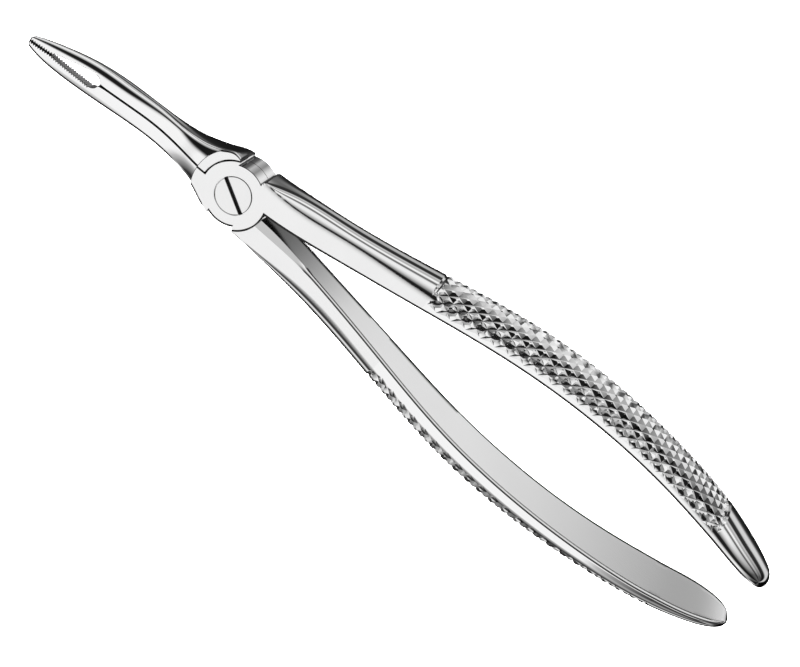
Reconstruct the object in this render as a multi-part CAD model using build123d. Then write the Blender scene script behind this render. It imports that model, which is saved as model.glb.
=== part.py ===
"""Extraction forceps for upper roots: two forged levers crossed on a slotted pivot screw.

Frame, in mm: the origin is on the pivot axis, at the flat back face of the joint.
+X runs along the forceps to the handle ends, +Y towards the front lever's handle,
and +Z along the pivot screw to its slotted head. The jaws are closed.
Sections are drawn about the joint's middle plane, where the two levers meet.
"""
import os
from build123d import *

# Joint: half-lapped discs, each let into a round recess of the other lever
JOINT_THICKNESS = 8.5
HALF = JOINT_THICKNESS / 2
LAP_GAP = 0.03               # running gap of each lapped face from the middle plane
DISC_RADIUS = 6.8
RECESS_RADIUS = 7.1
RIM_RADIUS = 6.3             # disc rim where it shows at the sides of the joint
LAND_RADIUS = 9.0            # flat land round the recess, before the beak falls away
LAND_EDGE = 0.15             # width of the land's broken outer edge
SHOULDER_BEAK_X = -2.5       # where the beak's shoulder ends at the side of the joint
SHOULDER_HANDLE_X = 3.3      # where the handle's shoulder ends there

# Pivot screw, its head sunk flush in the front lever, fixed in the back lever
HEAD_RADIUS = 3.72
HEAD_THICKNESS = 2.2
HEAD_CLEARANCE = 0.08
SHANK_RADIUS = 2.75
SHANK_CLEARANCE = 0.03
SLOT_WIDTH = 0.8
SLOT_DEPTH = 1.0
SLOT_ANGLE = -33

# Handle stations: x, inner face y, half width z, width of the flat edge strip on the side of
# the lever's own disc and on the side of its recess, whole thickness
HANDLE = [
    (SHOULDER_HANDLE_X, 0.6, HALF, 5.8, 5.6, 5.9),
    (10, 1.0, HALF, 5.1, 5.1, 6.7),
    (22, 2.75, 4.35, 4.8, 3.15, 6.65),
    (40, 6.2, 5.25, 3.5, 2.6, 6.4),
    (60, 9.9, 6.35, 2.4, 2.3, 6.3),
    (80, 11.35, 6.75, 2.1, 2.0, 5.9),
    (100, 10.2, 7.3, 1.8, 1.7, 5.2),
    (112, 8.2, 7.45, 1.5, 1.45, 4.7),
    (119.5, 6.45, 6.75, 1.15, 1.1, 3.95),
    (124.5, 5.35, 5.0, 1.0, 0.95, 3.1),
    (126.9, 5.0, 2.2, 0.7, 0.65, 2.3),
]
END_ROUNDING = 0.5           # radius round the edge of each handle's end

# Rings cut into the handle's crown at both ends of the grip
RING_XS = (41.8, 111.5)
RING_WIDTH = 0.9
RING_DEPTH = 0.3

# Beak stations: x, half width of the front face, half width of the back face, what the face
# that wraps round the other disc is wider by, outward bulge, then the front z, the back z of
# the inner edge and the back z of the outer edge, from the middle plane
BEAK = [
    (SHOULDER_BEAK_X, 6.3, 6.6, 0.6, 0.1, 4.1, -4.1, -4.1),
    (-4.5, 5.75, 6.1, 1.4, 0.1, 4.1, -4.1, -4.1),
    (-6.5, 4.75, 5.2, 1.35, 0.15, 4.1, -4.1, -4.1),
    (-9, 3.7, 4.25, 1.2, 0.2, 3.8, -3.95, -3.95),
    (-12.5, 3.15, 3.2, 0.7, 0.3, 2.9, -3.6, -3.6),
    (-16, 3.0, 2.8, 0.3, 0.4, 2.0, -3.0, -3.0),
    (-21, 3.05, 2.7, 0.1, 0.45, 1.45, -1.9, -2.2),
    (-28, 3.15, 2.75, 0, 0.45, 2.4, -0.6, -1.6),
    (-36, 3.2, 2.65, 0, 0.45, 4.0, 1.7, 0.4),
    (-42, 2.6, 1.9, 0, 0.4, 5.9, 3.8, 2.6),
    (-46, 1.8, 1.15, 0, 0.3, 7.0, 5.2, 4.2),
    (-48.6, 1.0, 0.6, 0, 0.2, 7.4, 6.2, 5.8),
]
BULGE_TANGENT = 6            # how strongly the outer side's ends lean with its bulge
LAND_STATIONS = 5            # the land is cut from a blank through this many of them
SEAM_GAP = 0.2               # from the middle to each beak, between joint and jaws
TOOTH_PITCH = 0.5
TOOTH_DEPTH = 0.28
JAW_GAP = 0.02               # from the middle to the crests of each jaw's teeth
SLOT_NOSE_X = -43.8          # the open slot between the jaws, from its point
SLOT_WIDE_X = -34.9          # to its widest place
SLOT_HALF_WIDTH = 1.4
SLOT_FULLNESS = 0.8          # power by which the slot opens from its point, 1 being straight sides

TOOL_SIZE = 40               # larger than any section of the forceps, for what only cuts


def across(x):
    """The plane across the lever at x, with its own x to +Y and its own y to +Z."""
    return Plane(origin=(x, 0, HALF), x_dir=(0, 1, 0), z_dir=(1, 0, 0))


def handle_section(disc_in_front, x, inner, half_width, disc_strip, recess_strip, whole):
    """Flat inner face, a flat strip along both edges and a crown of two elliptical quarters."""
    front_strip, back_strip = (disc_strip, recess_strip) if disc_in_front else (recess_strip, disc_strip)
    front_edge = inner + front_strip
    back_edge = inner + back_strip
    back_depth = whole - back_strip
    front_depth = whole - front_strip
    corners = [(back_edge, -half_width), (inner, -half_width), (inner, half_width), (front_edge, half_width)]
    back_crown = EllipticalCenterArc((back_edge, 0), back_depth, half_width, start_angle=-90, arc_size=90)
    front_crown = EllipticalCenterArc((front_edge, 0), front_depth, half_width, start_angle=0, arc_size=90)
    return across(x) * make_face(Polyline(*corners) + back_crown + front_crown)


def beak_section(x, front_width, back_width, bulge, front, inner_back, back):
    """Flat inner and front faces, a bulging outer side and a back that rises to the inner edge."""
    middle = (front + back) / 2
    side = (front_width + back_width) / 2 + bulge
    lean = front_width - back_width
    leaving = Vector(lean + BULGE_TANGENT * bulge, front - back)
    arriving = Vector(lean - BULGE_TANGENT * bulge, front - back)
    outer = Spline((back_width, back), (side, middle), (front_width, front), tangents=[leaving, arriving])
    outline = Polyline((front_width, front), (0, front), (0, inner_back), (back_width, back))
    return across(x) * make_face(outline + outer)


def handle(disc_in_front):
    """The handle on the +Y side, with a ring cut into its crown at both ends of the grip."""
    body = loft([handle_section(disc_in_front, *station) for station in HANDLE])
    body = fillet(body.faces().sort_by(Axis.X)[-1].edges(), END_ROUNDING)
    core_sizes = [(*sizes, whole - RING_DEPTH) for *sizes, whole in HANDLE[1:-2]]
    core = loft([handle_section(disc_in_front, *sizes) for sizes in core_sizes])
    for x in RING_XS:
        slab = Pos(x, 0, HALF) * Box(RING_WIDTH, TOOL_SIZE, TOOL_SIZE)
        body -= (body & slab) - core
    return body


def beak(disc_in_front):
    """A beak on the +Y side, with the flat land that it keeps round the joint."""
    shaped = []
    blanks = []
    for x, front_width, back_width, wrap, bulge, *levels in BEAK:
        if disc_in_front:
            back_width += wrap
        else:
            front_width += wrap
        shaped.append(beak_section(x, front_width, back_width, bulge, *levels))
        widths = (front_width - LAND_EDGE, back_width - LAND_EDGE)
        blanks.append(beak_section(x, *widths, bulge, HALF, -HALF, -HALF))
    land = Pos(0, 0, HALF) * Cylinder(LAND_RADIUS, JOINT_THICKNESS)
    return loft(shaped) + (loft(blanks[:LAND_STATIONS]) & land)


def jaw_space():
    """What is cut from a beak's inner side: the seam, the open slot and the serrations."""
    tip_x = BEAK[-1][0]
    half_pitches = int((SLOT_WIDE_X - tip_x) / TOOTH_PITCH * 2)
    teeth = []
    for step in range(half_pitches + 1):
        x = tip_x + step * TOOTH_PITCH / 2
        opened = max(0, (x - SLOT_NOSE_X) / (SLOT_WIDE_X - SLOT_NOSE_X))
        root = TOOTH_DEPTH * (step % 2)
        teeth.append((x, JAW_GAP + root + (SLOT_HALF_WIDTH - JAW_GAP) * opened**SLOT_FULLNESS))
    end_x = teeth[-1][0]
    ends = [(end_x, -1), (tip_x - 1, -1), (tip_x - 1, JAW_GAP)]
    bite = make_face(Polyline(*teeth, *ends, close=True))
    round_end = Pos(end_x, 0) * Circle(SLOT_HALF_WIDTH)
    seam = Pos(end_x / 2, SEAM_GAP - 1) * Rectangle(-end_x, 2)
    return extrude(bite + round_end + seam, TOOL_SIZE / 2, both=True)


def joint_disc(bottom, height):
    """A lapped disc, cut back a little where its rim shows at the sides of the joint."""
    level = Pos(0, 0, bottom + height / 2)
    rim_width = SHOULDER_HANDLE_X - SHOULDER_BEAK_X
    rim_middle = (SHOULDER_HANDLE_X + SHOULDER_BEAK_X) / 2
    shown = level * Pos(rim_middle) * Box(rim_width, 3 * DISC_RADIUS, height)
    return level * Cylinder(RIM_RADIUS, height) + (level * Cylinder(DISC_RADIUS, height) - shown)


def lever(disc_in_front):
    """One forged lever: its disc, its handle on one side and its beak on the other."""
    side = 1 if disc_in_front else -1
    grip = handle(disc_in_front)
    jaw = beak(disc_in_front) - jaw_space()
    limbs = grip + mirror(jaw, about=Plane.XZ) if disc_in_front else mirror(grip, about=Plane.XZ) + jaw
    lap_z = HALF + side * LAP_GAP
    recess = Pos(0, 0, lap_z - side * HALF) * Cylinder(RECESS_RADIUS, JOINT_THICKNESS)
    disc = joint_disc(lap_z if disc_in_front else 0, HALF - LAP_GAP)
    return limbs - recess + disc


def front_lever():
    """The lever on the screw head's side, with a clear bore and a seat for the head."""
    bore = Pos(0, 0, HALF) * Cylinder(SHANK_RADIUS + SHANK_CLEARANCE, 2 * JOINT_THICKNESS)
    seat = Pos(0, 0, JOINT_THICKNESS) * Cylinder(HEAD_RADIUS + HEAD_CLEARANCE, 2 * HEAD_THICKNESS + 0.1)
    return lever(True) - bore - seat


def back_lever():
    """The lever that holds the screw."""
    return lever(False) - Pos(0, 0, HALF) * Cylinder(SHANK_RADIUS, 2 * JOINT_THICKNESS)


def pivot_screw():
    """A flat head with a driver slot, and a plain shank to the back face."""
    head_middle = JOINT_THICKNESS - HEAD_THICKNESS / 2
    head = Pos(0, 0, head_middle) * Cylinder(HEAD_RADIUS, HEAD_THICKNESS)
    shank = Pos(0, 0, HALF) * Cylinder(SHANK_RADIUS, JOINT_THICKNESS)
    cutter = Box(3 * HEAD_RADIUS, SLOT_WIDTH, 2 * SLOT_DEPTH)
    return head + shank - Pos(0, 0, JOINT_THICKNESS) * Rot(0, 0, SLOT_ANGLE) * cutter


os.makedirs("parts", exist_ok=True)
export_step(front_lever(), "parts/front_lever.step")
export_step(back_lever(), "parts/back_lever.step")
export_step(pivot_screw(), "parts/pivot_screw.step")
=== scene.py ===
"""The looks of the extraction forceps: polished and fine-ground steel levers with a cut grip.

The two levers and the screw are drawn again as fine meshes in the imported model's frame. They keep
its sections, and add what is too fine for it: the pyramids of the grip, shallow bevels, rounded
and broken edges, and the fall of the beaks' front faces. Shapes are written in millimetres, with z
measured from the joint's middle plane, and turned into metres when a mesh is made.
"""
from math import cos, pi, radians, sin, tan

import bpy
import numpy as np
from mathutils import Matrix, Vector


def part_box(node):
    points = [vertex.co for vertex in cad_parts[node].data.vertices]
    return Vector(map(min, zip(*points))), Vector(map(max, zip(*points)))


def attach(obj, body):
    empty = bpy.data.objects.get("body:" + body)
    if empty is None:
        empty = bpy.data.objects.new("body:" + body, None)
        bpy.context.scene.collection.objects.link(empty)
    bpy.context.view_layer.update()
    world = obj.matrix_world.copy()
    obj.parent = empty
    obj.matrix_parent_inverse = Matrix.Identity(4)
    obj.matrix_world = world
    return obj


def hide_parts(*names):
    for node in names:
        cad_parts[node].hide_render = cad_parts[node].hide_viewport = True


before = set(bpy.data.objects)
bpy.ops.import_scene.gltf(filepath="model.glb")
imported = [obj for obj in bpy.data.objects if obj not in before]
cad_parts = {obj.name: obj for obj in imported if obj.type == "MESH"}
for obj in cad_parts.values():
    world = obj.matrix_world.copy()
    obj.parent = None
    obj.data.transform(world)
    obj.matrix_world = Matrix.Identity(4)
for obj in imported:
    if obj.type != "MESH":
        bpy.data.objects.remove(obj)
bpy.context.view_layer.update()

MM = 0.001

# ---------------------------------------------------------------- sizes, in mm

SCREW_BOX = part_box("pivot_screw")
FACE_Z = SCREW_BOX[1].z / MM            # front face of the joint
HALF = FACE_Z / 2                       # middle plane of the joint, above its back face
LAP_GAP = 0.03
DISC_RADIUS = 6.8
RIM_RADIUS = 6.3
RECESS_RADIUS = 7.1
LAND_RADIUS = 9.0
SHOULDER_BEAK_X = -2.5
SHOULDER_HANDLE_X = 3.3
FINE_BREAK = 0.05                       # broken edges of the fits: recess, bore and screw
RIM_BREAK = (0.5, 0.21)                 # shallow bevels, inwards and down: shoulders, -Y rims and land
SMALL_BREAK = (0.14, 0.06)              # the same on the rims and the land of the +Y side
BEAK_BREAK = (0.42, 0.17)               # the same on the outer edge of the -Y beak
SEAT_BREAK = 0.14                       # broken edge of the screw head's seat

HEAD_RADIUS = (SCREW_BOX[1].x - SCREW_BOX[0].x) / 2 / MM
HEAD_THICKNESS = 2.2
HEAD_CLEARANCE = 0.08
SEAT_GAP = 0.05                         # under the head
SHANK_RADIUS = 2.75
SHANK_CLEARANCE = 0.03
SLOT_WIDTH = 0.8
SLOT_DEPTH = 1.0
SLOT_ANGLE = -33

# Handle: x, inner face y, half width z, flat edge strip on the side of the lever's own disc and on
# the side of its recess, whole thickness
HANDLE = [
    (SHOULDER_HANDLE_X, 0.6, 4.25, 5.8, 5.6, 5.9),
    (10, 1.0, 4.25, 5.1, 5.1, 6.7),
    (22, 2.75, 4.35, 4.8, 3.15, 6.65),
    (40, 6.2, 5.25, 3.5, 2.6, 6.4),
    (60, 9.9, 6.35, 2.4, 2.3, 6.3),
    (80, 11.35, 6.75, 2.1, 2.0, 5.9),
    (100, 10.2, 7.3, 1.8, 1.7, 5.2),
    (112, 8.2, 7.45, 1.5, 1.45, 4.7),
    (119.5, 6.45, 6.75, 1.15, 1.1, 3.95),
    (124.5, 5.35, 5.0, 1.0, 0.95, 3.1),
    (126.9, 5.0, 2.2, 0.7, 0.65, 2.3),
]
WIDEST_X, WIDEST_HALF = 112, 7.45       # from here the handle's width rounds off to its end
HANDLE_END_X = 126.9
END_POWERS = (2.6, 0.45)                # how fully it does, 2 and 0.5 being an ellipse
END_ROUND = 1.5                         # length over which the end's thickness rounds off
END_CENTRE = 0.45                       # share of the thickness that it rounds off towards
END_FLAT = 0.01                         # length left off the end, so that its last section isn't a point
NARROW_HALF = 1.5                       # below this half width, broken and rounded edges shrink with it

STRIP_BEND = 1.2                        # the strip on the disc's side bends down over this width,
STRIP_BEND_SHARE = 0.6                  # or over this share of its own width if that's less,
STRIP_TILT = radians(8)                 # by this much at its edge
CROWN_START = [(3.3, 6), (12, 16), (22, 11), (34, 8), (127, 8)]   # x, degrees where its ellipse starts
LEAN_XS = (92, 114)                     # x over which both strips start to lean down to the crown
DISC_LEAN = 0.07                        # and their slopes there
RECESS_LEAN = 0.32

# Edges of the inner face: rounded on the recess's side, where a flat bevel runs out of the joint,
# and broken on the disc's side
EDGE_RADIUS = 0.68
FRONT_EDGE_BREAK = (0.52, 0.22)         # inwards and down, along the front lever's front edge
BACK_EDGE_BREAK = (0.3, 1.3)            # and along the back lever's back edge
EDGE_STEPS = 13                         # points on each edge
BEVEL_SLOPE = 0.82
BEVEL = [(3.3, 1.25), (9, 1.3), (14, 1.0), (20, 0.6), (24, 0.5), (130, 0.5)]   # x, width
BEVEL_ENDS = (17, 23)                   # x over which the bevel turns into the rounded edge
PAINTED_SHADE_XS = (12, 33)                   # x over which the painted shade on the inner faces fades out, from the joint towards the handles
PAINTED_SHADE_TONE = 0.35                  # their colour's share under that painted shade, at the joint's end

# Lengths between a handle's sections: from its shoulder, along the shank, round a ring, along the
# grip and behind it
SHOULDER_STEP = 0.25
SHOULDER_STEPS_END_X = 14
SHANK_STEP = 0.5
RING_STEP = 0.07
RING_REACH = 1
GRIP_STEP = 0.38
REAR_STEP = 0.35
END_SECTIONS = 14                       # and how many round off the end

# Grip: rings at both ends, and between them pyramids between two sets of slanting grooves
RING_XS = (41.8, 111.5)
RING_WIDTH = 0.9
RING_DEPTH = 0.32
RING_RUN_OUT = 1.0                      # length over which a ring gets its depth
GROOVE_PITCH = 1.84
GROOVE_SLANT = radians(35.5)
GROOVE_RUN_OUT = 1.1                    # length over which a groove gets its depth
GROOVES = [(-1, 0.66, 0), (1, 0.56, 0.2)]   # which way they lean, depth, how much later they start
CREST = 0.2                             # share of the pitch left on the crests
BAR_PROUD = 0.15                        # share by which a groove's cutter stands over the surface
BAR_END = -0.7                          # a cutter ends where its share of the depth would be this
BAR_LEAST = 4                           # sections that a cutter needs
RING_GAP = (0.3, 0.8)                   # from a ring to the grooves, and how long they deepen there
OUTLINE_POINTS = 110                    # on a handle's section, from one edge round to the other
OUTLINE_LONGEST = 24                    # more than the way round any section from edge to edge
GRIP_START_RECESS = 1.7                 # plain strip left beside the edge on the recess's side
GRIP_START_DISC = 0.6                   # and on the disc's side

# Beak: x, half width of the front face, half width of the back face, what the face that wraps
# round the other disc is wider by, outward bulge, front z, back z of the inner and outer edge,
# radius of the outer front edge, how far the front face falls towards it, and over which width
BEAK = [
    (SHOULDER_BEAK_X, 6.3, 6.6, 0.6, 0.1, 4.1, -4.1, -4.1, 0.3, 0.1, 3.0),
    (-4.5, 5.75, 6.1, 1.4, 0.1, 4.1, -4.1, -4.1, 0.45, 0.5, 3.6),
    (-6.5, 4.75, 5.2, 1.35, 0.15, 4.1, -4.1, -4.1, 0.6, 0.9, 3.8),
    (-9, 3.7, 4.25, 1.2, 0.2, 3.8, -3.95, -3.95, 0.7, 0.8, 3.2),
    (-12.5, 3.15, 3.2, 0.7, 0.3, 2.9, -3.6, -3.6, 0.6, 0.5, 2.5),
    (-16, 3.0, 2.8, 0.3, 0.4, 2.0, -3.0, -3.0, 0.5, 0.14, 1.9),
    (-21, 3.05, 2.7, 0.1, 0.45, 1.45, -1.9, -2.2, 0.5, 0.12, 1.5),
    (-28, 3.15, 2.75, 0, 0.45, 2.4, -0.6, -1.6, 0.45, 0.34, 1.5),
    (-36, 3.2, 2.65, 0, 0.45, 4.0, 1.7, 0.4, 0.4, 0.48, 1.5),
    (-42, 2.6, 1.9, 0, 0.4, 5.9, 3.8, 2.6, 0.4, 0.35, 1.3),
    (-46, 1.8, 1.15, 0, 0.3, 7.0, 5.2, 4.2, 0.35, 0.18, 0.9),
    (-48.6, 1.0, 0.6, 0, 0.2, 7.4, 6.2, 5.8, 0.3, 0.05, 0.5),
]
LAND_STATIONS = 5                       # the land is cut from this many beak stations
LAND_EDGE = 0.15                        # how far its sides stay inside the beak's
LAND_BREAK = 0.12                       # broken edge of the land's round side
SEAM_GAP = 0.2
TOOTH_PITCH = 0.5
TOOTH_DEPTH = 0.36
JAW_GAP = 0.02
SLOT_NOSE_X = -43.8
SLOT_WIDE_X = -34.9
SLOT_HALF_WIDTH = 1.4
SLOT_FULLNESS = 0.8
JAW_BREAK = (0.17, 0.07)                # broken front edges of the teeth and of the slot
SEAM_BREAK = (0.03, 0.012)              # and of the seam
SEAM_STARTS = (1, 3)                    # from the teeth's end, over which one turns into the other
TEETH_STARTS = (0.2, 0.8)               # from the tip, over which the teeth get their depth
BACK_CORNER = 0.03                      # radii of a beak's small corners: at its inner back edge,
BREAK_CORNER = 0.06                     # at both edges of BEAK_BREAK,
JAW_CORNER = 0.004                      # and at both edges of JAW_BREAK and SEAM_BREAK
FALL_HEIGHTS = (0.4, 0.9)               # share of the height over which the front face's fall comes in
BULGE_WIDTHS = (0.5, 0.9)               # share of the width over which the outer side's bulge does
LOWER_FALL = 0.3                        # share of the front face's fall that the -Y beak keeps
LOWER_FALL_XS = (9, 16)                 # -x over which it gets down to that share
TIP_ROUND = 0.8                         # length over which the tips round off
TIP_FULLNESS = 0.9                      # and how fully, 1 being to a point
NECK_X = -16                            # where a beak's sections get closer together
BEAK_STEP = 0.4                         # lengths between them, before it and behind it
NECK_STEP = 0.25
TIP_X = BEAK[-1][0]
TEETH_END_X = TIP_X + int((SLOT_WIDE_X - TIP_X) / TOOTH_PITCH * 2) * TOOTH_PITCH / 2

# Camera
CAMERA_TILT = radians(24.2)             # from straight above, towards the front lever's handle
CAMERA_ROLL = radians(39)
CAMERA_DISTANCE = 300
CAMERA_AIM = (41.6, -0.35)              # along the handles, and across them as the camera sees it
LENS = 70.2

# Floor: x and height of a place under the joint, and of one under the handles
FLOOR_JOINT = (-9, 0)
FLOOR_HANDLES = (100, -3.15)
FLOOR_SIZE = 6000
FLOOR_COLOUR = (0.9, 0.9, 0.9, 1)

# ---------------------------------------------------------------- curves and meshes


def through(stations, xs):
    """The stations' other columns at xs, on natural cubic splines through the stations."""
    table = np.array(sorted(stations), float)
    x, values = table[:, 0], table[:, 1:]
    step = np.diff(x)[:, None]
    count = len(x)
    system = np.eye(count)
    wanted = np.zeros_like(values)
    slope = np.diff(values, axis=0) / step
    for i in range(1, count - 1):
        system[i, i - 1:i + 2] = (step[i - 1, 0], 2 * (step[i - 1, 0] + step[i, 0]), step[i, 0])
        wanted[i] = 6 * (slope[i] - slope[i - 1])
    bend = np.linalg.solve(system, wanted)
    at = np.clip(np.searchsorted(x, xs) - 1, 0, count - 2)
    low, high = (xs - x[at])[:, None], (x[at + 1] - xs)[:, None]
    size = step[at]
    curve = (bend[at] * high**3 + bend[at + 1] * low**3) / (6 * size)
    curve += (values[at] / size - bend[at] * size / 6) * high
    curve += (values[at + 1] / size - bend[at + 1] * size / 6) * low
    return curve.T


def ramp(value, low, high):
    """0 at low, 1 at high, and smooth between them."""
    share = np.clip((value - low) / (high - low), 0, 1)
    return share * share * (3 - 2 * share)


def made(name, points, faces):
    """An object from points in mm about the joint's middle plane."""
    mesh = bpy.data.meshes.new(name)
    points = np.asarray(points, float).reshape(-1, 3) + (0, 0, HALF)
    mesh.from_pydata((points * MM).tolist(), [], faces)
    mesh.validate()
    piece = bpy.data.objects.new(name, mesh)
    bpy.context.scene.collection.objects.link(piece)
    return piece


def skinned(name, *tubes):
    """A mesh with a closed tube over each list of rings, which have equal numbers of points."""
    points, faces, count = [], [], 0
    for rings in tubes:
        rings = np.asarray(rings, float)
        if signed_turn(rings[0]) * (rings[-1, 0, 0] - rings[0, 0, 0]) < 0:
            rings = rings[:, ::-1]
        index = count + np.arange(rings[..., 0].size).reshape(rings.shape[:2])
        near, far = index[:-1], index[1:]
        quads = np.stack([near, np.roll(near, -1, 1), np.roll(far, -1, 1), far], -1).reshape(-1, 4)
        faces += quads.tolist() + [index[0, ::-1].tolist(), index[-1].tolist()]
        points.append(rings.reshape(-1, 3))
        count += index.size
    return made(name, np.concatenate(points), faces)


def signed_turn(ring):
    """Twice the area that a ring encloses as seen from +X, positive if it runs anticlockwise."""
    y, z = ring[:, 1], ring[:, 2]
    return np.sum(y * np.roll(z, -1) - z * np.roll(y, -1))


def turned(name, profile, segments=256):
    """A solid of revolution about the pivot axis. The profile runs upwards as (radius, z)."""
    angles = np.arange(segments) * 2 * pi / segments
    rings = [[(r * cos(a), r * sin(a), z) for a in angles] for r, z in profile]
    index = np.arange(len(profile) * segments).reshape(-1, segments)
    near, far = index[:-1], index[1:]
    quads = np.stack([near, np.roll(near, -1, 1), np.roll(far, -1, 1), far], -1).reshape(-1, 4)
    return made(name, rings, quads.tolist() + [index[0, ::-1].tolist(), index[-1].tolist()])


def block(name, low, high):
    """A box between two corners, in mm about the middle plane."""
    corners = [(x, y, z) for z in (low[2], high[2]) for y in (low[1], high[1]) for x in (low[0], high[0])]
    faces = [(0, 2, 3, 1), (4, 5, 7, 6), (0, 1, 5, 4), (2, 6, 7, 3), (0, 4, 6, 2), (1, 3, 7, 5)]
    return made(name, corners, faces)


def combined(first, second, operation):
    """The first object after a boolean with the second, which is used up."""
    change = first.modifiers.new("combine", "BOOLEAN")
    change.operation = operation
    change.solver = "MANIFOLD"
    change.object = second
    shown = first.evaluated_get(bpy.context.evaluated_depsgraph_get())
    result = bpy.data.meshes.new_from_object(shown)
    if not result.polygons:
        raise ValueError(f"{operation} left nothing of {first.name}")
    first.modifiers.clear()
    first.data = result
    bpy.data.objects.remove(second)
    return first


# ---------------------------------------------------------------- handle


def spaced(*zones):
    """Positions over zones of (start, end, step), each start being the last zone's end."""
    runs = [np.linspace(a, b, max(2, round((b - a) / step) + 1))[:-1] for a, b, step in zones]
    return np.concatenate(runs + [[zones[-1][1]]])


def handle_xs():
    """Positions along a handle, close together at the rings and at the end."""
    bevel_end = SHOULDER_HANDLE_X + RIM_BREAK[0]
    round_start = HANDLE_END_X - END_ROUND
    ring_near, ring_far = RING_XS
    body = spaced(
        (SHOULDER_HANDLE_X, bevel_end, RIM_BREAK[0]),
        (bevel_end, SHOULDER_STEPS_END_X, SHOULDER_STEP),
        (SHOULDER_STEPS_END_X, ring_near - RING_REACH, SHANK_STEP),
        (ring_near - RING_REACH, ring_near + RING_REACH, RING_STEP),
        (ring_near + RING_REACH, ring_far - RING_REACH, GRIP_STEP),
        (ring_far - RING_REACH, ring_far + RING_REACH, RING_STEP),
        (ring_far + RING_REACH, round_start, REAR_STEP),
    )
    end = round_start + END_ROUND * np.sin(np.linspace(0, pi / 2, END_SECTIONS))[1:]
    end[-1] -= END_FLAT
    return np.concatenate([body, end])


def groove_path(start_x, xs, outlines, starts, lean, late):
    """Where a groove runs: x, y, z, the normal's y and z, and its share of the full depth."""
    path = []
    for x, (y, z, normal_y, normal_z, along) in zip(xs, outlines):
        place = starts[0] + lean * (start_x - x) * tan(GROOVE_SLANT)
        edge = min(place - starts[0], along[-1] - place - starts[1])
        ring = min(abs(x - ring_x) for ring_x in RING_XS)
        share = min(1, (edge - late) / GROOVE_RUN_OUT, (ring - RING_GAP[0]) / RING_GAP[1])
        if share > BAR_END and RING_XS[0] < x < RING_XS[1]:
            columns = [np.interp(place, along, column) for column in (y, z, normal_y, normal_z)]
            path.append((x, *columns, share))
    return path


def groove_bars(xs, outlines, starts, lean, full, late):
    """V-shaped bars over the crown, one for each groove that leans one way, to be cut from it."""
    spacing = GROOVE_PITCH / sin(GROOVE_SLANT)
    reach = OUTLINE_LONGEST / tan(GROOVE_SLANT)
    half_width = GROOVE_PITCH * (1 - CREST) / 2 * (1 + BAR_PROUD)
    bars = []
    for number in range(int((RING_XS[0] - reach) / spacing), int((RING_XS[1] + reach) / spacing)):
        path = groove_path(number * spacing, xs, outlines, starts, lean, late)
        if len(path) < BAR_LEAST:
            continue
        x, y, z, normal_y, normal_z, share = np.array(path).T
        points = np.stack([x, y, z], -1)
        normal = np.stack([np.zeros_like(x), normal_y, normal_z], -1)
        sideways = np.cross(np.gradient(points, axis=0), normal)
        sideways *= half_width / np.linalg.norm(sideways, axis=1)[:, None]
        bottom = points - normal * full * share[:, None]
        top = bottom + normal * full * (1 + BAR_PROUD)
        bars.append(np.stack([bottom, top + sideways, top - sideways], 1))
    return bars


def ring_depth(x, along, total, strips):
    """How deep the rings at both ends of the grip are cut, from a point at each strip's edge."""
    nearest = min(abs(x - ring) for ring in RING_XS)
    edge = np.minimum(along - strips[0], total - along - strips[1])
    room = np.clip(edge / RING_RUN_OUT, 0, 1)
    return np.maximum(room - nearest / (RING_WIDTH / 2), 0) * RING_DEPTH


def rounded_edge(bevel, flatness):
    """Steps (inwards, down) round the inner face's edge, from a flat bevel to a quarter circle."""
    share = np.linspace(0, 1, EDGE_STEPS)
    flat = np.stack([bevel * share, bevel * BEVEL_SLOPE * share], -1)
    turn = share * pi / 2
    quarter = EDGE_RADIUS * np.stack([np.sin(turn), 1 - np.cos(turn)], -1)
    return quarter + (flat - quarter) * flatness


def broken_edge(inwards, down):
    """Steps (inwards, down) over a broken edge."""
    return np.linspace((0, 0), (inwards, down), EDGE_STEPS)


def half_outline(start, edge, apex, half_width, tilt, crown_start, lean):
    """From the start of a strip, leaning and then bent down by tilt, over its edge to the apex."""
    bend = min(STRIP_BEND, (edge - start) * STRIP_BEND_SHARE)
    flat_y = np.linspace(start, edge, 60, endpoint=False)
    bent = np.clip(flat_y - edge + bend, 0, None) ** 2 * tan(tilt) / (2 * bend)
    flat_z = half_width - (flat_y - start) * lean - bent
    depth = (apex - edge) / (1 - sin(crown_start))
    height = (half_width - (edge - start) * lean - bend * tan(tilt) / 2) / cos(crown_start)
    angle = np.linspace(pi / 2 - crown_start, 0, 361)
    y = np.concatenate([flat_y, apex - depth + depth * np.cos(angle)])
    return y, np.concatenate([flat_z, height * np.sin(angle)])


def outer_outline(front_half, back_half):
    """Both halves as evenly spaced points, with their outward normals and their distances."""
    y = np.concatenate([front_half[0], back_half[0][::-1][1:]])
    z = np.concatenate([front_half[1], -back_half[1][::-1][1:]])
    travelled = np.concatenate([[0], np.cumsum(np.hypot(np.diff(y), np.diff(z)))])
    along = np.linspace(0, travelled[-1], OUTLINE_POINTS)
    y, z = np.interp(along, travelled, y), np.interp(along, travelled, z)
    step_y, step_z = np.gradient(y), np.gradient(z)
    size = np.hypot(step_y, step_z)
    return y, z, -step_z / size, step_y / size, along


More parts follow.
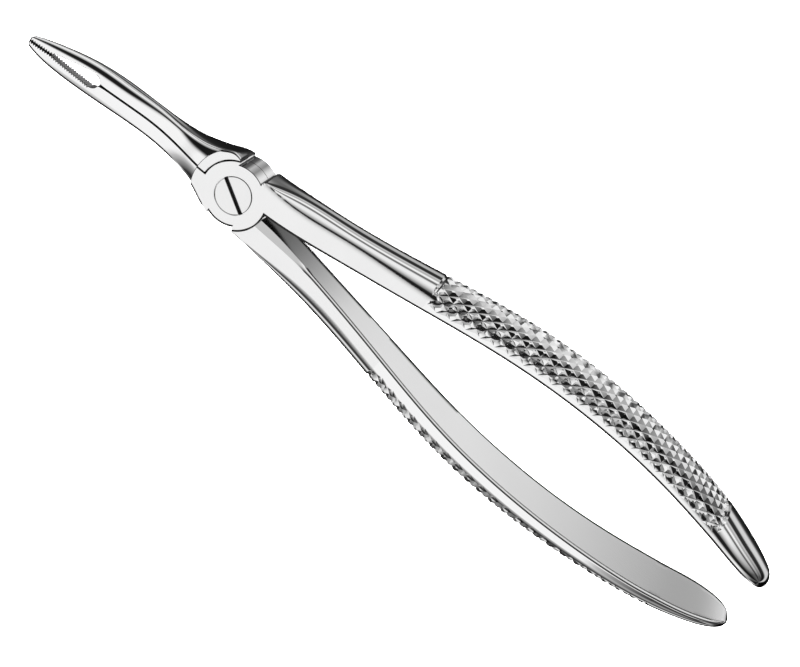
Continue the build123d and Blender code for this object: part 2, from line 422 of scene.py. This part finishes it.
def handle_section(disc_in_front, x, bevel, crown_start, station):
    """The y and z round a handle's section on the +Y side, and its outer outline before the rings."""
    side = 1 if disc_in_front else -1
    inner, half_width, disc_strip, recess_strip, whole = station
    if x > WIDEST_X:
        gone = (x - WIDEST_X) / (HANDLE_END_X - WIDEST_X)
        half_width = WIDEST_HALF * (1 - gone ** END_POWERS[0]) ** END_POWERS[1]
    fit = min(1, half_width / NARROW_HALF)
    recess_edge = rounded_edge(bevel, 1 - ramp(x, *BEVEL_ENDS)) * fit
    disc_edge = broken_edge(*(FRONT_EDGE_BREAK if disc_in_front else BACK_EDGE_BREAK)) * fit
    apex = inner + whole
    leaning = ramp(x, *LEAN_XS)
    disc_half = half_outline(
        inner + disc_edge[-1, 0], inner + disc_strip, apex, half_width,
        STRIP_TILT, radians(crown_start), DISC_LEAN * leaning)
    recess_half = half_outline(
        inner + recess_edge[-1, 0], inner + recess_strip, apex, half_width, 0, 0, RECESS_LEAN * leaning)
    outline = outer_outline(*(disc_half, recess_half)[::side])
    y, z, normal_y, normal_z, along = outline
    depth = ring_depth(x, along, along[-1], (disc_strip, recess_strip)[::side])
    y, z = y - normal_y * depth, z - normal_z * depth
    front, back = (disc_edge, recess_edge)[::side]
    front_y, front_z = inner + front[-1, 0] - front[:, 0], half_width - front[:, 1]
    back_y, back_z = inner + back[-1, 0] - back[:, 0], back[:, 1] - half_width
    middle_z = np.linspace(back_z[-1], front_z[-1], 10)[1:-1]
    middle_y = np.full_like(middle_z, inner)
    y = np.concatenate([y, back_y[1:], middle_y, front_y[::-1][:-1]])
    z = np.concatenate([z, back_z[1:], middle_z, front_z[::-1][:-1]])
    rounding = max(0, (x - HANDLE_END_X + END_ROUND) / END_ROUND)
    centre = inner + whole * END_CENTRE
    y = centre + (y - centre) * (1 - rounding**2) ** 0.5
    broken = max(0, 1 - (x - SHOULDER_HANDLE_X) / RIM_BREAK[0])
    y = np.minimum(y, apex - broken * RIM_BREAK[0])
    low = half_width - broken * RIM_BREAK[1]
    return y, np.clip(z, -low, low), outline


def handle(disc_in_front):
    """A handle with its grip: flat inner face, a strip along both edges and a crown between them."""
    side = 1 if disc_in_front else -1
    starts = (GRIP_START_DISC, GRIP_START_RECESS)[::side]
    xs = handle_xs()
    bevels, crown_starts = through(BEVEL, xs)[0], through(CROWN_START, xs)[0]
    rings, outlines = [], []
    for x, bevel, crown_start, station in zip(xs, bevels, crown_starts, through(HANDLE, xs).T):
        y, z, outline = handle_section(disc_in_front, x, bevel, crown_start, station)
        rings.append(np.stack([np.full_like(y, x), side * y, z], -1))
        outlines.append(outline)
    body = skinned("handle", rings)
    for lean, full, late in GROOVES:
        bars = groove_bars(xs, outlines, starts, lean, full, late)
        body = combined(body, skinned("grooves", *[bar * (1, side, 1) for bar in bars]), "DIFFERENCE")
    return body


# ---------------------------------------------------------------- beak


def jaw_edge(x):
    """Distance of a beak's inner side from the middle: teeth, then the open slot, then the seam."""
    if x <= TEETH_END_X:
        root = TOOTH_DEPTH * (1 - abs((x - TIP_X) / (TOOTH_PITCH / 2) % 2 - 1))
        root *= ramp(x, *(TIP_X + start for start in TEETH_STARTS))
        opened = max(0, (x - SLOT_NOSE_X) / (SLOT_WIDE_X - SLOT_NOSE_X))
        return JAW_GAP + root + (SLOT_HALF_WIDTH - JAW_GAP) * opened**SLOT_FULLNESS
    rest = SLOT_HALF_WIDTH**2 - (x - TEETH_END_X) ** 2
    return max(SEAM_GAP, max(0, rest) ** 0.5)


def rounded_outline(corners, radii, arc=9, edge=7):
    """A closed outline with rounded corners, with the same number of points at every section."""
    points = []
    corners = [np.array(c, float) for c in corners]
    for k, here in enumerate(corners):
        before, after = corners[k - 1], corners[(k + 1) % len(corners)]
        to_before = (before - here) / np.linalg.norm(before - here)
        to_after = (after - here) / np.linalg.norm(after - here)
        half_angle = np.arccos(np.clip(to_before @ to_after, -1, 1)) / 2
        reach = radii[k] / np.tan(half_angle)
        centre_way = (to_before + to_after) / np.linalg.norm(to_before + to_after)
        centre = here + centre_way * radii[k] / np.sin(half_angle)
        start, end = here + to_before * reach - centre, here + to_after * reach - centre
        turn = pi - 2 * half_angle
        for share in np.linspace(0, 1, arc):
            mixed = (np.sin((1 - share) * turn) * start + np.sin(share * turn) * end) / np.sin(turn)
            points.append(centre + mixed)
        next_after = corners[(k + 2) % len(corners)]
        onward = (next_after - after) / np.linalg.norm(next_after - after)
        next_half = np.arccos(np.clip(-to_after @ onward, -1, 1)) / 2
        next_start = after - to_after * radii[(k + 1) % len(corners)] / np.tan(next_half)
        for share in np.linspace(0, 1, edge)[1:-1]:
            points.append(centre + end + (next_start - centre - end) * share)
    return np.array(points)


def face_widths(front_width, back_width, wrap, disc_in_front):
    """Half widths of a beak's front and back faces, one of which wraps round the other disc."""
    return (front_width, back_width + wrap) if disc_in_front else (front_width + wrap, back_width)


def beak_rings(xs, disc_in_front, side):
    """The shaped beak's sections at xs."""
    rings = []
    for x, (front_w, back_w, wrap, *levels) in zip(xs, through(BEAK, xs).T):
        bulge, front, inner_back, back, radius, fall, reach = levels
        front_w, back_w = face_widths(front_w, back_w, wrap, disc_in_front)
        seam_share = ramp(x, *(TEETH_END_X + start for start in SEAM_STARTS))
        in_jaw, down_jaw = np.array(JAW_BREAK) + (np.array(SEAM_BREAK) - JAW_BREAK) * seam_share
        if side > 0:
            outer_edge, outer_radii = [(front_w, front)], [radius]
        else:
            inwards, down = BEAK_BREAK
            outer_edge = [(front_w, front - down), (front_w - inwards, front)]
            outer_radii = [BREAK_CORNER, BREAK_CORNER]
        inner = jaw_edge(x)
        jaw_corners = [(inner + in_jaw, front), (inner, front - down_jaw)]
        outline = rounded_outline(
            [(inner, inner_back), (back_w, back), *outer_edge, *jaw_corners],
            [BACK_CORNER, 0.15 + radius * 0.3, *outer_radii, JAW_CORNER, JAW_CORNER],
        )
        y, z = outline[:, 0].copy(), outline[:, 1].copy()
        height = np.clip((z - back) / (front - back), 0, 1)
        outward = np.clip(y / max(front_w, back_w), 0, 1)
        if side < 0:
            fall *= 1 - (1 - LOWER_FALL) * ramp(-x, *LOWER_FALL_XS)
        z -= fall * np.clip((y - front_w + reach) / reach, 0, 1) ** 2 * ramp(height, *FALL_HEIGHTS)
        y += 4 * bulge * height * (1 - height) * ramp(outward, *BULGE_WIDTHS)
        rounding = max(0, 1 - (x - TIP_X) / TIP_ROUND)
        kept = (1 - TIP_FULLNESS * rounding**2) ** 0.5
        y = np.minimum(y, y.max() * kept)
        z = (front + inner_back) / 2 + (z - (front + inner_back) / 2) * kept
        broken = max(0, 1 - (SHOULDER_BEAK_X - x) / RIM_BREAK[0])
        y = np.minimum(y, max(front_w, back_w) + bulge - broken * RIM_BREAK[0])
        rings.append(np.stack([np.full_like(y, x), side * y, z], -1))
    return rings


def beak_xs():
    """Positions along a beak, close together over the teeth and the slot's round end."""
    teeth = np.arange(TIP_X, TEETH_END_X + 0.001, TOOTH_PITCH / 8)
    slot_end = TEETH_END_X + SLOT_HALF_WIDTH * np.sin(np.linspace(0, pi / 2, 16))[1:]
    bevel_x = SHOULDER_BEAK_X - RIM_BREAK[0]
    body = spaced(
        (slot_end[-1] + 0.02, NECK_X, BEAK_STEP), (NECK_X, bevel_x, NECK_STEP),
        (bevel_x, SHOULDER_BEAK_X, RIM_BREAK[0]),
    )
    return np.concatenate([teeth, slot_end, body])


def land(disc_in_front, side):
    """The full-thickness flat round the joint: the beak's blank, inside the land's circle."""
    bevel_x = SHOULDER_BEAK_X - RIM_BREAK[0]
    land_x = BEAK[LAND_STATIONS - 1][0]
    xs = spaced((land_x, bevel_x, NECK_STEP), (bevel_x, SHOULDER_BEAK_X, RIM_BREAK[0]))
    inwards, down = SMALL_BREAK if side > 0 else RIM_BREAK
    rings = []
    for x, (front_w, back_w, wrap, bulge, *_) in zip(xs, through(BEAK, xs).T):
        front_w, back_w = face_widths(front_w, back_w, wrap, disc_in_front)
        broken = max(0, 1 - (SHOULDER_BEAK_X - x) / RIM_BREAK[0])
        face = HALF - broken * down
        share = np.linspace(0, 1, 9)
        y = back_w + (front_w - back_w) * share + 4 * bulge * share * (1 - share) - LAND_EDGE
        y = y - broken * inwards
        z = -HALF + 2 * HALF * share
        y = np.concatenate([[SEAM_GAP, y[0] - inwards], y, [y[-1] - inwards, SEAM_GAP]])
        z = np.concatenate([[-face, -face, down - face], z[1:-1], [face - down, face, face]])
        rings.append(np.stack([np.full_like(y, x), side * y, z], -1))
    circle = puck(LAND_RADIUS, -HALF, HALF, LAND_BREAK, LAND_BREAK)
    return combined(skinned("land", rings), circle, "INTERSECT")


# ---------------------------------------------------------------- levers and screw


def puck(radius, low, high, inwards, down):
    """A flat cylinder with broken edges."""
    return turned("puck", [
        (radius - inwards, low), (radius, low + down), (radius, high - down), (radius - inwards, high),
    ])


def disc(disc_in_front):
    """A lapped disc, cut back where its rim shows at the sides of the joint."""
    low, high = (LAP_GAP, HALF) if disc_in_front else (-HALF, -LAP_GAP)
    tall = 2 * HALF
    window = block("window", (SHOULDER_BEAK_X, -tall, -tall), (SHOULDER_HANDLE_X, tall, tall))
    whole = combined(puck(DISC_RADIUS, low, high, FINE_BREAK, FINE_BREAK), window, "DIFFERENCE")
    for sizes, cut_low, cut_high in ((SMALL_BREAK, -tall, 0), (RIM_BREAK, 0, tall)):
        other_half = block("half", (-tall, cut_low, -tall), (tall, cut_high, tall))
        rim = combined(puck(RIM_RADIUS, low, high, *sizes), other_half, "DIFFERENCE")
        whole = combined(whole, rim, "UNION")
    return whole


def recess(disc_in_front):
    """What the other lever's disc turns in, with a broken edge at the outer face."""
    floor = LAP_GAP if disc_in_front else -LAP_GAP
    face = -HALF if disc_in_front else HALF
    outwards = -1 if disc_in_front else 1
    profile = [
        (RECESS_RADIUS, floor), (RECESS_RADIUS, face - outwards * FINE_BREAK),
        (RECESS_RADIUS + 2 * FINE_BREAK, face + outwards * FINE_BREAK),
        (RECESS_RADIUS + 2 * FINE_BREAK, face + outwards),
    ]
    return turned("recess", profile[::outwards])


def bore(radius, from_z, to_z, flare_z, break_size):
    """A round hole whose edge is broken where it meets the face at flare_z."""
    up = 1 if flare_z > 0 else -1
    wide = radius + 2 * break_size
    flare = [(radius, flare_z - up * break_size), (wide, flare_z + up * break_size)]
    profile = [(radius, from_z), *flare, (wide, to_z)]
    return turned("bore", profile[::up])


def lever(name, disc_in_front):
    """One forged lever: handle on one side, beak on the other, and its disc between them."""
    side = 1 if disc_in_front else -1
    whole = handle(disc_in_front)
    whole = combined(whole, skinned("beak", beak_rings(beak_xs(), disc_in_front, -side)), "UNION")
    whole = combined(whole, land(disc_in_front, -side), "UNION")
    whole = combined(whole, recess(disc_in_front), "DIFFERENCE")
    whole = combined(whole, disc(disc_in_front), "UNION")
    if disc_in_front:
        shank = bore(SHANK_RADIUS + SHANK_CLEARANCE, -FACE_Z, FACE_Z, HALF + 1, FINE_BREAK)
        whole = combined(whole, shank, "DIFFERENCE")
        seat_floor = HALF - HEAD_THICKNESS - SEAT_GAP
        seat = bore(HEAD_RADIUS + HEAD_CLEARANCE, seat_floor, FACE_Z, HALF, SEAT_BREAK)
        whole = combined(whole, seat, "DIFFERENCE")
    else:
        shank = bore(SHANK_RADIUS, FACE_Z, -FACE_Z, -HALF, FINE_BREAK)
        whole = combined(whole, shank, "DIFFERENCE")
    whole.name = name
    return whole


def screw():
    """A flat head with a driver slot, and a plain shank to the back face."""
    solid = turned("screw", [
        (SHANK_RADIUS - FINE_BREAK, -HALF), (SHANK_RADIUS, -HALF + FINE_BREAK),
        (SHANK_RADIUS, HALF - HEAD_THICKNESS), (HEAD_RADIUS, HALF - HEAD_THICKNESS),
        (HEAD_RADIUS, HALF - FINE_BREAK), (HEAD_RADIUS - FINE_BREAK, HALF),
    ])
    half_length = 2 * HEAD_RADIUS
    half_width = SLOT_WIDTH / 2
    wide = half_width + 2 * FINE_BREAK
    low, high = HALF - FINE_BREAK, HALF + FINE_BREAK
    outline = [
        (-half_width, HALF - SLOT_DEPTH), (half_width, HALF - SLOT_DEPTH), (half_width, low),
        (wide, high), (-wide, high), (-half_width, low),
    ]
    rings = [[(x, y, z) for y, z in outline] for x in (-half_length, half_length)]
    slot = skinned("slot", rings)
    slot.data.transform(Matrix.Rotation(radians(SLOT_ANGLE), 4, "Z"))
    return combined(solid, slot, "DIFFERENCE")


# ---------------------------------------------------------------- materials


def steel(name, colour, roughness, grain, grain_size, bump):
    """A steel finish: fine grain of a given size in mm along (x, y, z), faint clouds, light bump."""
    material = bpy.data.materials.new(name)
    material.use_nodes = True
    nodes, links = material.node_tree.nodes, material.node_tree.links
    shader = nodes["Principled BSDF"]
    shader.inputs["Metallic"].default_value = 1.0
    place = nodes.new("ShaderNodeTexCoord")
    stretch = nodes.new("ShaderNodeMapping")
    stretch.inputs["Scale"].default_value = [1 / (size * MM) for size in grain_size]
    lines = nodes.new("ShaderNodeTexNoise")
    lines.inputs["Scale"].default_value = 1.0
    lines.inputs["Detail"].default_value = 4.0
    clouds = nodes.new("ShaderNodeTexNoise")
    clouds.inputs["Scale"].default_value = 120.0
    clouds.inputs["Detail"].default_value = 3.0
    rough = nodes.new("ShaderNodeMapRange")
    rough.inputs["To Min"].default_value = roughness * (1 - grain)
    rough.inputs["To Max"].default_value = roughness * (1 + grain)
    tone = nodes.new("ShaderNodeMix")
    tone.data_type = "RGBA"
    tone.inputs["A"].default_value = (*[c * (1 - 0.05 * grain) for c in colour], 1)
    tone.inputs["B"].default_value = (*colour, 1)
    mixed = nodes.new("ShaderNodeMath")
    mixed.operation = "MULTIPLY_ADD"
    mixed.inputs[1].default_value = 0.5
    relief = nodes.new("ShaderNodeBump")
    relief.inputs["Strength"].default_value = bump
    relief.inputs["Distance"].default_value = 0.02 * MM
    half = nodes.new("ShaderNodeMath")
    half.operation = "MULTIPLY"
    half.inputs[1].default_value = 0.5
    links.new(place.outputs["Object"], stretch.inputs["Vector"])
    links.new(stretch.outputs["Vector"], lines.inputs["Vector"])
    links.new(place.outputs["Object"], clouds.inputs["Vector"])
    links.new(clouds.outputs["Fac"], half.inputs[0])
    links.new(lines.outputs["Fac"], mixed.inputs[0])
    links.new(half.outputs["Value"], mixed.inputs[2])
    links.new(mixed.outputs["Value"], rough.inputs["Value"])
    links.new(mixed.outputs["Value"], tone.inputs["Factor"])
    links.new(lines.outputs["Fac"], relief.inputs["Height"])
    links.new(rough.outputs["Result"], shader.inputs["Roughness"])
    links.new(tone.outputs["Result"], shader.inputs["Base Color"])
    links.new(relief.outputs["Normal"], shader.inputs["Normal"])
    return material


def with_painted_joint_shade(material):
    """Darkens a steel's colour towards the joint: painted shade for the dark that the inner faces reflect
    there.
    """
    nodes, links = material.node_tree.nodes, material.node_tree.links
    place = nodes.new("ShaderNodeTexCoord")
    split = nodes.new("ShaderNodeSeparateXYZ")
    reach = nodes.new("ShaderNodeMapRange")
    reach.interpolation_type = "SMOOTHSTEP"
    reach.inputs["From Min"].default_value = PAINTED_SHADE_XS[0] * MM
    reach.inputs["From Max"].default_value = PAINTED_SHADE_XS[1] * MM
    reach.inputs["To Min"].default_value = PAINTED_SHADE_TONE
    reach.inputs["To Max"].default_value = 1.0
    darker = nodes.new("ShaderNodeVectorMath")
    darker.operation = "SCALE"
    socket = nodes["Principled BSDF"].inputs["Base Color"]
    tone = socket.links[0].from_socket
    links.new(place.outputs["Object"], split.inputs["Vector"])
    links.new(split.outputs["X"], reach.inputs["Value"])
    links.new(tone, darker.inputs[0])
    links.new(reach.outputs["Result"], darker.inputs["Scale"])
    links.new(darker.outputs["Vector"], socket)
    return material


POLISHED, GROUND, SATIN_PAINTED_SHADE, GRIP, PAINTED_CREVICE_SHADE, JAW = range(6)
FLAT, FACING, UPRIGHT = 0.97, 0.9, 0.5  # limits to the part of a face's normal along an axis
CREASE = radians(22)                    # faces that meet at a larger angle have a crisp edge


def finishes():
    """The finishes of the levers, in the order of their numbers."""
    return [
        steel("polished_steel", (0.97, 0.97, 0.97), 0.05, 0.35, (6, 0.2, 0.2), 0.04),
        steel("fine_ground_steel", (0.98, 0.98, 0.98), 0.20, 0.25, (0.6, 0.25, 0.25), 0.05),
        # satin steel, its colour darkened towards the joint as painted shade
        with_painted_joint_shade(steel("satin_steel_painted_shade", (0.97, 0.97, 0.97), 0.15, 0.25, (1.5, 0.2, 0.2), 0.05)),
        steel("cut_grip_steel", (0.97, 0.97, 0.97), 0.06, 0.3, (0.3, 0.3, 0.3), 0.04),
        # painted shade: near-black colour standing in for the shade in the crevices
        steel("crevice_painted_shade", (0.10, 0.10, 0.10), 0.40, 0.2, (0.5, 0.5, 0.5), 0.1),
        steel("jaw_steel", (0.9, 0.9, 0.9), 0.50, 0.4, (0.12, 0.12, 0.3), 0.3),
    ]


def finish_lever(piece, side):
    """Gives every face its finish by where it lies and which way it faces, and smooths the shading."""
    mesh = piece.data
    mesh.materials.clear()
    for material in finishes():
        mesh.materials.append(material)
    count = len(mesh.polygons)
    centre, normal = np.empty(count * 3), np.empty(count * 3)
    mesh.polygons.foreach_get("center", centre)
    mesh.polygons.foreach_get("normal", normal)
    centre, normal = centre.reshape(-1, 3) / MM - (0, 0, HALF), normal.reshape(-1, 3)
    x, y, z = centre.T
    inner = through(HANDLE, np.clip(x, SHOULDER_HANDLE_X, HANDLE_END_X))[0]
    depth = y * side - inner
    start = np.where(z * side > 0, GRIP_START_DISC + FRONT_EDGE_BREAK[0], GRIP_START_RECESS + EDGE_RADIUS)
    on_handle = x > SHOULDER_HANDLE_X
    finish = np.full(count, POLISHED)
    flat = np.abs(normal[:, 2]) > FLAT
    finish[flat & (np.abs(z) > HALF - 0.1) & (x > -LAND_RADIUS) & (x < RING_XS[0])] = GROUND
    facing_in = on_handle & (normal[:, 1] * side < -FACING) & (depth < 0.2)
    # the handles' inner faces: satin steel with painted shade towards the joint
    finish[facing_in & (x > RECESS_RADIUS)] = SATIN_PAINTED_SHADE
    grip = (x > RING_XS[0] + RING_GAP[0]) & (x < RING_XS[1] - RING_GAP[0]) & (depth > start) & ~facing_in
    finish[grip] = GRIP
    upright = np.abs(normal[:, 2]) < UPRIGHT
    from_axis = np.hypot(x, y)
    in_window = (x > SHOULDER_BEAK_X) & (x < SHOULDER_HANDLE_X)
    fit = upright & (np.abs(from_axis - RECESS_RADIUS) < 0.4) & ~in_window & (np.abs(z) < HALF)
    slot_edge = np.array([jaw_edge(place) for place in x])
    seam = (x < SHOULDER_BEAK_X) & (np.abs(y) < slot_edge + 0.05)
    bore_wall = upright & (from_axis < HEAD_RADIUS + 0.3)
    # painted shade: the recess walls, the seam's sides and the bore walls get the near-black colour for the
    # shade in these crevices
    finish[fit | (seam & upright) | bore_wall] = PAINTED_CREVICE_SHADE
    finish[seam & upright & (x > SLOT_NOSE_X) & (x < TEETH_END_X + SLOT_HALF_WIDTH * 0.9)] = JAW
    mesh.polygons.foreach_set("material_index", finish.astype(np.int32))
    smooth(piece)


def finish_screw(piece):
    """A fine-ground head, and walls inside its slot painted dark as shade."""
    mesh = piece.data
    mesh.materials.clear()
    mesh.materials.append(steel("screw_steel", (0.96, 0.96, 0.96), 0.20, 0.25, (0.25, 0.6, 0.25), 0.08))
    # painted shade: dark colour on the slot's walls for the shade inside the slot
    mesh.materials.append(steel("slot_painted_shade", (0.3, 0.3, 0.3), 0.40, 0.3, (0.3, 0.3, 0.3), 0.15))
    for face in mesh.polygons:
        inside = face.center.z / MM < FACE_Z - 0.06 and face.center.xy.length / MM < HEAD_RADIUS - 0.02
        face.material_index = int(inside and face.center.z / MM > FACE_Z - HEAD_THICKNESS + 0.1)
    smooth(piece)


def smooth(piece):
    """Smooth shading with crisp edges, led by the larger faces."""
    piece.data.shade_smooth()
    piece.data.set_sharp_from_angle(angle=CREASE)
    normals = piece.modifiers.new("normals", "WEIGHTED_NORMAL")
    normals.keep_sharp = True


# ---------------------------------------------------------------- floor, light and camera


def floor():
    """A plain pale floor, sloping from the joint's back along the handles' back edges."""
    (near_x, near_z), (far_x, far_z) = FLOOR_JOINT, FLOOR_HANDLES
    slope = (far_z - near_z) / (far_x - near_x)
    end = FLOOR_SIZE / 2
    corners = [(-end, -end), (end, -end), (end, end), (-end, end)]
    points = [(x, y, near_z + (x - near_x) * slope - HALF) for x, y in corners]
    sheet = made("floor", points, [(0, 1, 2, 3)])
    paint = bpy.data.materials.new("pale_floor")
    paint.use_nodes = True
    shader = paint.node_tree.nodes["Principled BSDF"]
    shader.inputs["Base Color"].default_value = FLOOR_COLOUR
    shader.inputs["Roughness"].default_value = 1.0
    shader.inputs["Specular IOR Level"].default_value = 0.0
    sheet.data.materials.append(paint)
    sheet.visible_glossy = False


# Studio seen in the steel, round the long axis of the forceps: degrees from straight above, positive
# towards the front lever's handle, and how bright it is there
STUDIO = [
    (-180, 0.01), (-118, 0.01), (-106, 0.16), (-97, 0.6), (-91, 0.85), (-84, 0.5), (-78, 0.1), (-72, 0.02),
    (-64, 0.03), (-45, 0.27), (-36, 0.47), (-30, 0.85), (-19, 0.86), (-12, 0.62), (-7, 0.2), (-3, 0.01),
    (27, 0.01), (43, 0.3), (60, 0.62), (73, 0.8), (89, 0.8), (96, 0.2), (101, 0.05), (106, 0.6), (111, 0.95),
    (117, 0.5), (122, 0.35), (127, 0.6), (132, 0.02), (147, 0.03), (180, 0.01),
]
STUDIO_BRIGHTNESS = 1.1
# The pale floor between the handles, as their inner faces see it: brightness over the same degrees,
# and the share of it by the direction's part along X
BOUNCE = [(144, 0.0), (149, 0.8), (160, 0.85), (167, 0.08), (172, 0.0), (180, 0.0)]
BOUNCE_ALONG = [
    (-1, 0.05), (-0.26, 0.1), (-0.18, 0.5), (-0.1, 0.35), (-0.03, 0.25), (0.05, 0.5), (0.1, 0.68),
    (0.13, 0.78), (0.18, 0.86), (0.3, 0.7),
]
# The panels fade towards both ends: the size of the direction's part along X, and brightness
ENDS = [(0.6, 1.0), (0.9, 0.12)]
OVERHEAD_ENERGY = 18.0
OVERHEAD_SPREAD = radians(90)
OVERHEAD_LEAN = radians(-8)


def studio():
    """What the steel reflects: soft panels all along the forceps, with dark gaps between them."""
    world = bpy.data.worlds.new("studio")
    world.use_nodes = True
    bpy.context.scene.world = world
    nodes, links = world.node_tree.nodes, world.node_tree.links
    nodes.clear()

    def math(operation, *values):
        node = nodes.new("ShaderNodeMath")
        node.operation = operation
        for socket, value in zip(node.inputs, values):
            if isinstance(value, (int, float)):
                socket.default_value = value
            else:
                links.new(value, socket)
        return node.outputs["Value"]

    def bands(value, stops):
        """A ramp through stops of (value from 0 to 1, brightness)."""
        node = nodes.new("ShaderNodeValToRGB")
        links.new(value, node.inputs["Fac"])
        elements = node.color_ramp.elements
        for position, level in stops[1:-1]:
            elements.new(position).color = (level, level, level, 1)
        for element, (position, level) in ((elements[0], stops[0]), (elements[-1], stops[-1])):
            element.position = position
            element.color = (level, level, level, 1)
        return node.outputs["Color"]

    place = nodes.new("ShaderNodeTexCoord")
    split = nodes.new("ShaderNodeSeparateXYZ")
    links.new(place.outputs["Generated"], split.inputs["Vector"])
    along, across, up = split.outputs
    turn = math("MULTIPLY_ADD", math("ARCTAN2", across, up), 1 / (2 * pi), 0.5)
    round_axis = bands(turn, [((angle + 180) / 360, level) for angle, level in STUDIO])
    to_ends = bands(math("ABSOLUTE", along), ENDS)
    plain = math("MULTIPLY", round_axis, to_ends)
    band = bands(turn, [((angle + 180) / 360, level) for angle, level in BOUNCE])
    from_end = math("MULTIPLY_ADD", along, 0.5, 0.5)
    share = bands(from_end, [((part + 1) / 2, level) for part, level in BOUNCE_ALONG])
    level = math("MULTIPLY_ADD", band, share, plain)
    room = nodes.new("ShaderNodeBackground")
    room.inputs["Strength"].default_value = STUDIO_BRIGHTNESS
    links.new(level, room.inputs["Color"])
    pale = nodes.new("ShaderNodeBackground")
    pale.inputs["Color"].default_value = (1, 1, 1, 1)
    path = nodes.new("ShaderNodeLightPath")
    either = nodes.new("ShaderNodeMixShader")
    links.new(path.outputs["Is Camera Ray"], either.inputs["Fac"])
    links.new(room.outputs["Background"], either.inputs[1])
    links.new(pale.outputs["Background"], either.inputs[2])
    output = nodes.new("ShaderNodeOutputWorld")
    links.new(either.outputs["Shader"], output.inputs["Surface"])


def overhead():
    """Soft light from above, for the floor. The steel doesn't mirror it."""
    lamp = bpy.data.lights.new("overhead", "SUN")
    lamp.energy = OVERHEAD_ENERGY
    lamp.angle = OVERHEAD_SPREAD
    light = bpy.data.objects.new("overhead", lamp)
    light.rotation_euler = (OVERHEAD_LEAN, 0, 0)
    light.visible_glossy = False
    bpy.context.scene.collection.objects.link(light)


def camera():
    """The camera stands above the forceps, leaning towards the front lever's handle."""
    along = Vector((1, 0, 0))
    across = Vector((0, cos(CAMERA_TILT), -sin(CAMERA_TILT)))
    back = along.cross(across)
    spot = Vector((0, 0, FACE_Z)) + CAMERA_AIM[0] * along + CAMERA_AIM[1] * across + CAMERA_DISTANCE * back
    right = cos(CAMERA_ROLL) * along + sin(CAMERA_ROLL) * across
    above = cos(CAMERA_ROLL) * across - sin(CAMERA_ROLL) * along
    eye = bpy.data.objects.new("camera", bpy.data.cameras.new("camera"))
    eye.data.lens = LENS
    eye.data.clip_start = 0.01
    eye.matrix_world = Matrix.Translation(spot * MM) @ Matrix((right, above, back)).transposed().to_4x4()
    bpy.context.scene.collection.objects.link(eye)
    bpy.context.scene.camera = eye
    bpy.context.scene.view_settings.view_transform = "Standard"


# ---------------------------------------------------------------- the forceps

camera()
studio()
overhead()
floor()

front = lever("front_lever_steel", True)
finish_lever(front, 1)
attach(front, "front_half")
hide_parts("front_lever")

back = lever("back_lever_steel", False)
finish_lever(back, -1)
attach(back, "back_half")
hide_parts("back_lever")

pin = screw()
pin.name = "pivot_screw_steel"
finish_screw(pin)
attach(pin, "back_half")
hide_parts("pivot_screw")

bpy.context.view_layer.update()
